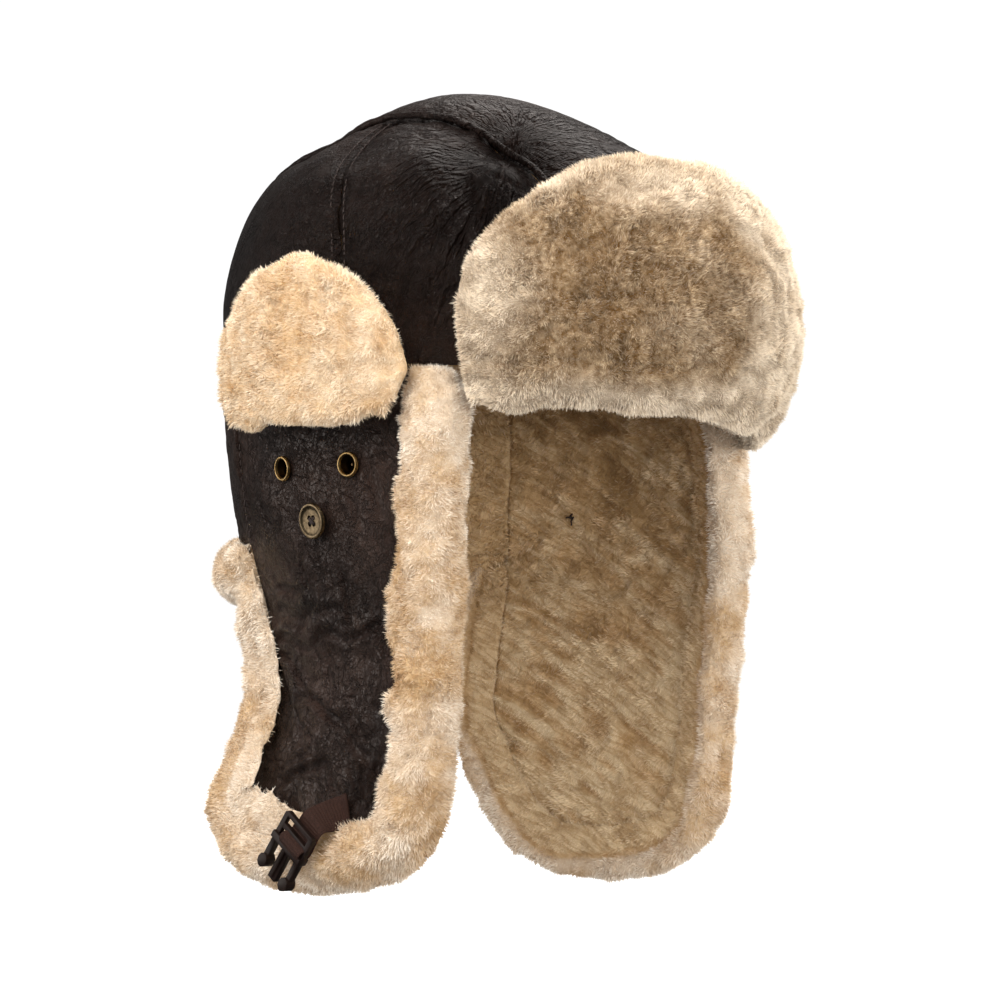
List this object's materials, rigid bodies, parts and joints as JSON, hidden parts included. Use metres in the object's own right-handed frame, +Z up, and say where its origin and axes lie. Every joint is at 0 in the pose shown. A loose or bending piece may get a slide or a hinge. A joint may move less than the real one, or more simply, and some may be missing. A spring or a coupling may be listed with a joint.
{
  "type": "leather flying helmet with shearling lining, ear flaps, turned-up visor and open chin strap",
  "caption": "Dark-brown leather flying helmet lined and edged with cream shearling, visor and ear covers turned up, ear flaps down, chin strap unfastened.",
  "frame": {"origin": "top of the head hollow, where the crown of the head touches the lining", "axes": "+Z up through the crown, -Y the way the wearer faces, +X the wearer's left"},
  "size_m": [0.242, 0.2694, 0.3431],
  "materials": {
    "leather": "semi-gloss, creased grain",
    "wool": "clipped shearling, cream",
    "lining": "clipped shearling, tan",
    "brass": "antique, satin",
    "thread": "twisted thread",
    "webbing": "ribbed webbing",
    "plastic": "satin moulded"
  },
  "bodies": {
    "root": {"crown_strip": "leather", "crown_front_panel_right": "leather", "crown_rear_panel_right": "leather", "crown_front_panel_left": "leather", "crown_rear_panel_left": "leather", "piping_right": "leather", "piping_left": "leather", "crown_lining": "lining", "ear_flap_right": "leather", "ear_flap_left": "leather", "flap_lining_right": "lining", "flap_lining_left": "lining", "flap_trim_right": "wool", "flap_trim_left": "wool", "nape_panel": "leather", "nape_lining": "lining", "nape_trim": "wool", "visor_hide": "leather", "visor_wool": "wool", "ear_cover_hide_right": "leather", "ear_cover_hide_left": "leather", "ear_cover_wool_right": "wool", "ear_cover_wool_left": "wool", "eyelet_front_right": "brass", "eyelet_rear_right": "brass", "eyelet_front_left": "brass", "eyelet_rear_left": "brass", "button_right": "brass", "button_left": "brass", "button_thread_right": "thread", "button_thread_left": "thread", "strap_right": "webbing", "strap_left": "webbing", "buckle_plug": "plastic", "buckle_socket": "plastic"}
  },
  "joints": []
}
